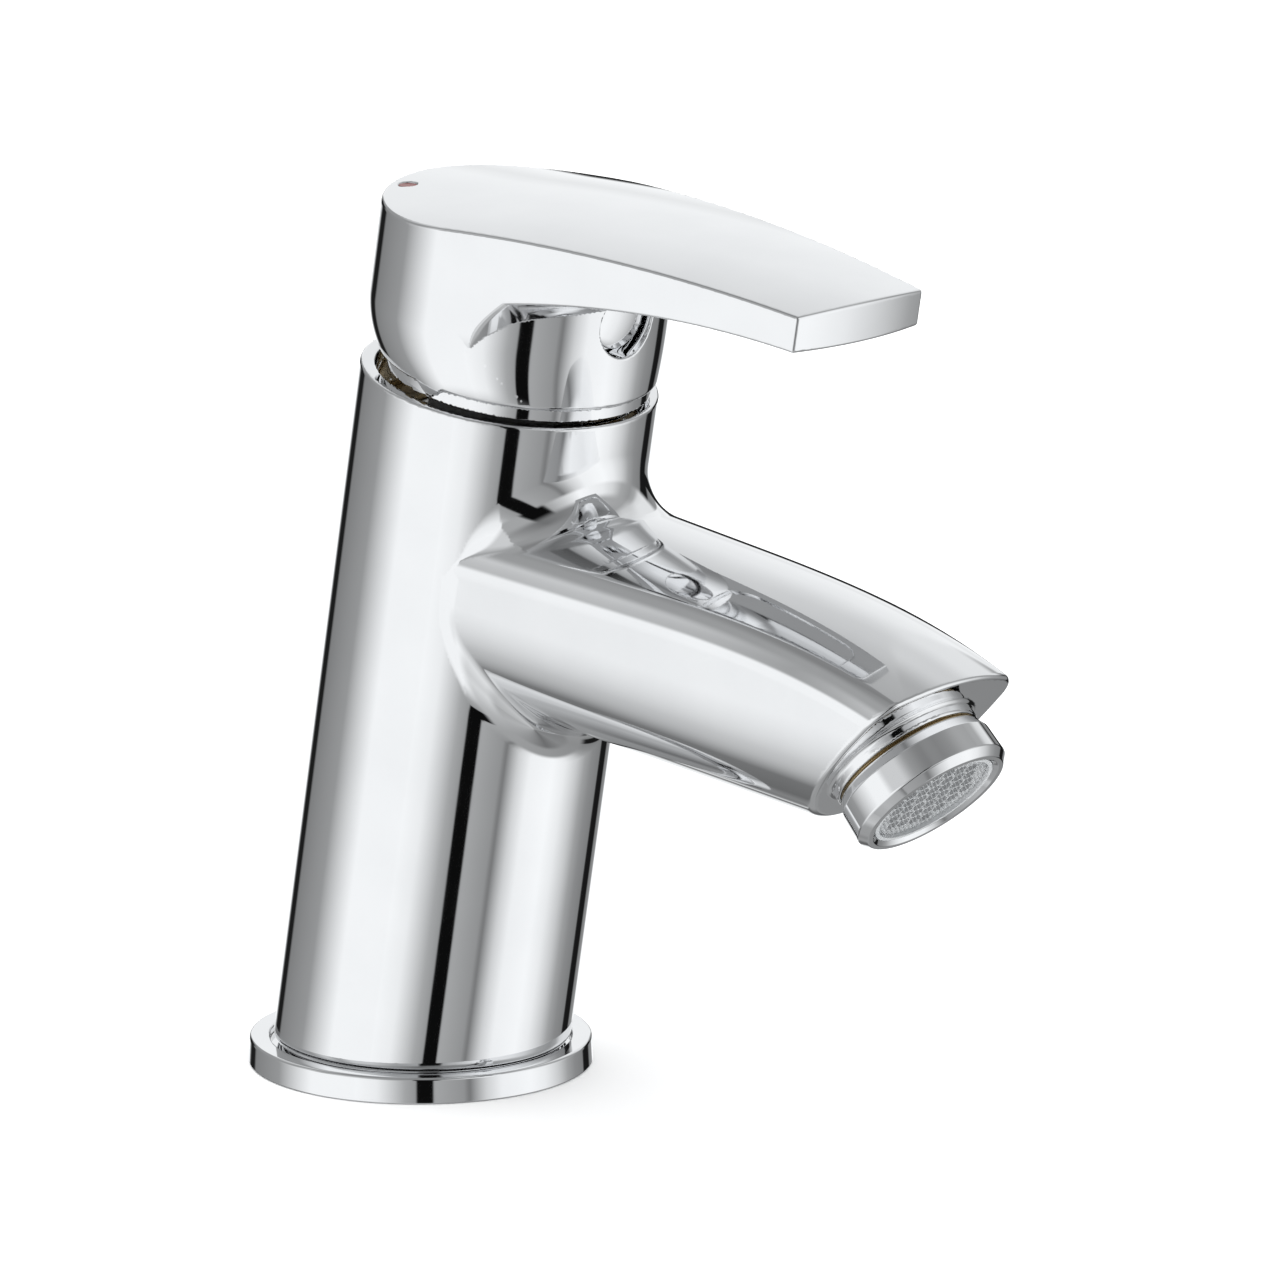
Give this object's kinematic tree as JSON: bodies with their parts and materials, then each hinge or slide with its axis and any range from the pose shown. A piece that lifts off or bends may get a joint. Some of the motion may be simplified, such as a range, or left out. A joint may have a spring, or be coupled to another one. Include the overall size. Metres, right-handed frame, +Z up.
{
  "type": "basin mixer tap",
  "caption": "Single-lever bathroom basin mixer: leaning cylindrical body on a round plinth, short spout with angled aerator, flat tapered lever that lifts and swivels.",
  "frame": {"origin": "centre of the base plinth's underside, on the basin's deck", "axes": "+Z up from the deck, -Y the way the spout and the lever point, X across the tap"},
  "size_m": [0.05, 0.1339, 0.1317],
  "materials": {
    "chrome": "polished chrome plate on brass, mirror bright",
    "raw_brass": "turned brass, unplated",
    "gasket_rubber": "moulded nitrile rubber",
    "black_rubber": "moulded EPDM seals",
    "alumina": "lapped alumina",
    "blue_acetal": "moulded acetal",
    "white_acetal": "moulded acetal",
    "grey_acetal": "moulded acetal",
    "ptfe": "PTFE slip washer",
    "stainless": "stainless steel",
    "red_enamel": "dark red enamel fill, satin",
    "aerator_grey": "translucent grey acetal"
  },
  "bodies": {
    "root": {"body_casting": "chrome", "base_plinth": "chrome", "base_gasket": "gasket_rubber", "cartridge_base": "white_acetal", "port_seals": "black_rubber", "disc_gasket": "black_rubber", "lower_ceramic_disc": "alumina", "cartridge_housing": "white_acetal", "slip_washer": "ptfe", "lock_nut": "raw_brass", "aerator_housing": "chrome", "aerator_washer": "black_rubber", "aerator_body": "aerator_grey", "aerator_screen": "stainless", "aerator_jet_plate": "blue_acetal", "aerator_straightener": "aerator_grey", "aerator_gauze": "stainless"},
    "rotor": {"cartridge_rotor": "grey_acetal", "pivot_pin": "stainless"},
    "lever": {"lever_handle": "chrome", "screw_cap": "chrome", "hot_dot": "red_enamel", "grub_screw": "stainless", "lever_stem": "raw_brass"},
    "slider": {"disc_carrier": "blue_acetal", "upper_ceramic_disc": "alumina"}
  },
  "joints": [
    {"name": "temperature_swivel", "type": "hinge", "parent": "root", "child": "rotor", "pos_m": [0, -0.01831, 0.10413], "axis": [0, -0.1771, 0.9842], "range_deg": [-50, 50]},
    {"name": "lever_tilt", "type": "hinge", "parent": "rotor", "child": "lever", "pos_m": [0, -0.01949, 0.11072], "axis": [-1, 0, 0], "range_deg": [0, 22]},
    {"name": "disc_slide", "type": "slide", "parent": "rotor", "child": "slider", "axis": [0, -0.9842, -0.1771], "range_m": [0, 0.00612]}
  ],
  "couplings": [
    {"joint": "disc_slide", "follows": "lever_tilt", "m_per_rad": 0.015902}
  ]
}
